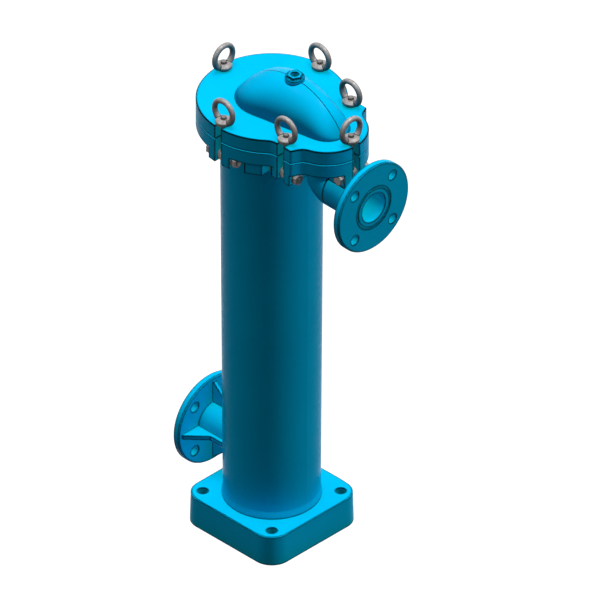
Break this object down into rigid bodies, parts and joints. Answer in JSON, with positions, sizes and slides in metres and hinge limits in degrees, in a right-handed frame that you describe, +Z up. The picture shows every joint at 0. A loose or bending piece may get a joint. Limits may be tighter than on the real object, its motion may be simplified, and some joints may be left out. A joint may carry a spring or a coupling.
{
  "type": "bag filter housing",
  "caption": "Upright bag filter housing: tapered vessel on a square bolted foot, flanged inlet and outlet, lid with a crossover duct held by swing bolts and eye nuts.",
  "frame": {"origin": "on the vessel's axis, in the plane that the foot stands on", "axes": "+Z up along the vessel; +X out of the inlet flange; the outlet flange faces -X"},
  "size_m": [0.3895, 0.255, 0.93],
  "materials": {
    "housing": "satin",
    "eye_nuts": "satin",
    "bolts": "satin",
    "basket": "matte",
    "felt": "matte",
    "bag_ring": "satin",
    "seals": "matte"
  },
  "bodies": {
    "housing": {"base_foot": "housing", "vessel_shell": "housing", "body_flange": "housing", "inlet_elbow": "housing", "inlet_neck": "housing", "inlet_flange": "housing", "outlet_neck": "housing", "outlet_flange": "housing", "outlet_gussets": "housing", "lid_seal": "seals", "basket_seal": "seals", "basket_rim": "basket", "basket_wall": "basket", "basket_floor": "basket", "filter_bag": "felt", "bag_ring": "bag_ring", "pivot_bolts": "bolts", "pivot_nuts": "bolts", "pivot_washers": "bolts"},
    "lid": {"lid": "housing", "vent_bush": "housing"},
    "swing_bolt_1": {"swing_bolt_1": "bolts"},
    "washer_1": {"washer_1": "bolts"},
    "eye_nut_1": {"eye_nut_1": "eye_nuts"},
    "swing_bolt_2": {"swing_bolt_2": "bolts"},
    "washer_2": {"washer_2": "bolts"},
    "eye_nut_2": {"eye_nut_2": "eye_nuts"},
    "swing_bolt_3": {"swing_bolt_3": "bolts"},
    "washer_3": {"washer_3": "bolts"},
    "eye_nut_3": {"eye_nut_3": "eye_nuts"},
    "swing_bolt_4": {"swing_bolt_4": "bolts"},
    "washer_4": {"washer_4": "bolts"},
    "eye_nut_4": {"eye_nut_4": "eye_nuts"},
    "swing_bolt_5": {"swing_bolt_5": "bolts"},
    "washer_5": {"washer_5": "bolts"},
    "eye_nut_5": {"eye_nut_5": "eye_nuts"},
    "swing_bolt_6": {"swing_bolt_6": "bolts"},
    "washer_6": {"washer_6": "bolts"},
    "eye_nut_6": {"eye_nut_6": "eye_nuts"}
  },
  "joints": [
    {"name": "lid_lift", "type": "slide", "parent": "housing", "child": "lid", "axis": [0, 0, 1], "range_m": [0, 0.0075]},
    {"name": "swing_1", "type": "hinge", "parent": "housing", "child": "swing_bolt_1", "pos_m": [-0.113, 0, 0.795], "axis": [0, -1, 0], "range_deg": [0, 180]},
    {"name": "washer_rise_1", "type": "slide", "parent": "swing_bolt_1", "child": "washer_1", "axis": [0, 0, 1], "range_m": [0, 0.0075]},
    {"name": "nut_turn_1", "type": "hinge", "parent": "washer_1", "child": "eye_nut_1", "pos_m": [-0.113, 0, 0.8612], "axis": [0, 0, 1], "range_deg": [0, 1800.1]},
    {"name": "swing_2", "type": "hinge", "parent": "housing", "child": "swing_bolt_2", "pos_m": [0, 0.113, 0.795], "axis": [-1, 0, 0], "range_deg": [0, 180]},
    {"name": "washer_rise_2", "type": "slide", "parent": "swing_bolt_2", "child": "washer_2", "axis": [0, 0, 1], "range_m": [0, 0.0075]},
    {"name": "nut_turn_2", "type": "hinge", "parent": "washer_2", "child": "eye_nut_2", "pos_m": [0, 0.113, 0.8612], "axis": [0, 0, 1], "range_deg": [0, 1800.1]},
    {"name": "swing_3", "type": "hinge", "parent": "housing", "child": "swing_bolt_3", "pos_m": [0.1095, 0.076, 0.795], "axis": [-1, 0, 0], "range_deg": [0, 180]},
    {"name": "washer_rise_3", "type": "slide", "parent": "swing_bolt_3", "child": "washer_3", "axis": [0, 0, 1], "range_m": [0, 0.0075]},
    {"name": "nut_turn_3", "type": "hinge", "parent": "washer_3", "child": "eye_nut_3", "pos_m": [0.1095, 0.076, 0.8612], "axis": [0, 0, 1], "range_deg": [0, 1800.1]},
    {"name": "swing_4", "type": "hinge", "parent": "housing", "child": "swing_bolt_4", "pos_m": [0, -0.113, 0.795], "axis": [1, 0, 0], "range_deg": [0, 180]},
    {"name": "washer_rise_4", "type": "slide", "parent": "swing_bolt_4", "child": "washer_4", "axis": [0, 0, 1], "range_m": [0, 0.0075]},
    {"name": "nut_turn_4", "type": "hinge", "parent": "washer_4", "child": "eye_nut_4", "pos_m": [0, -0.113, 0.8612], "axis": [0, 0, 1], "range_deg": [0, 1800.1]},
    {"name": "swing_5", "type": "hinge", "parent": "housing", "child": "swing_bolt_5", "pos_m": [0.1095, -0.076, 0.795], "axis": [1, 0, 0], "range_deg": [0, 180]},
    {"name": "washer_rise_5", "type": "slide", "parent": "swing_bolt_5", "child": "washer_5", "axis": [0, 0, 1], "range_m": [0, 0.0075]},
    {"name": "nut_turn_5", "type": "hinge", "parent": "washer_5", "child": "eye_nut_5", "pos_m": [0.1095, -0.076, 0.8612], "axis": [0, 0, 1], "range_deg": [0, 1800.1]},
    {"name": "swing_6", "type": "hinge", "parent": "housing", "child": "swing_bolt_6", "pos_m": [0.186, 0, 0.795], "axis": [0, 1, 0], "range_deg": [0, 36]},
    {"name": "washer_rise_6", "type": "slide", "parent": "swing_bolt_6", "child": "washer_6", "axis": [0, 0, 1], "range_m": [0, 0.0075]},
    {"name": "nut_turn_6", "type": "hinge", "parent": "washer_6", "child": "eye_nut_6", "pos_m": [0.186, 0, 0.8612], "axis": [0, 0, 1], "range_deg": [0, 1800.1]}
  ],
  "couplings": [
    {"joint": "washer_rise_1", "follows": "lid_lift", "ratio": 1},
    {"joint": "nut_turn_1", "follows": "lid_lift", "rad_per_m": 4188.8},
    {"joint": "washer_rise_2", "follows": "lid_lift", "ratio": 1},
    {"joint": "nut_turn_2", "follows": "lid_lift", "rad_per_m": 4188.8},
    {"joint": "washer_rise_3", "follows": "lid_lift", "ratio": 1},
    {"joint": "nut_turn_3", "follows": "lid_lift", "rad_per_m": 4188.8},
    {"joint": "washer_rise_4", "follows": "lid_lift", "ratio": 1},
    {"joint": "nut_turn_4", "follows": "lid_lift", "rad_per_m": 4188.8},
    {"joint": "washer_rise_5", "follows": "lid_lift", "ratio": 1},
    {"joint": "nut_turn_5", "follows": "lid_lift", "rad_per_m": 4188.8},
    {"joint": "washer_rise_6", "follows": "lid_lift", "ratio": 1},
    {"joint": "nut_turn_6", "follows": "lid_lift", "rad_per_m": 4188.8}
  ]
}
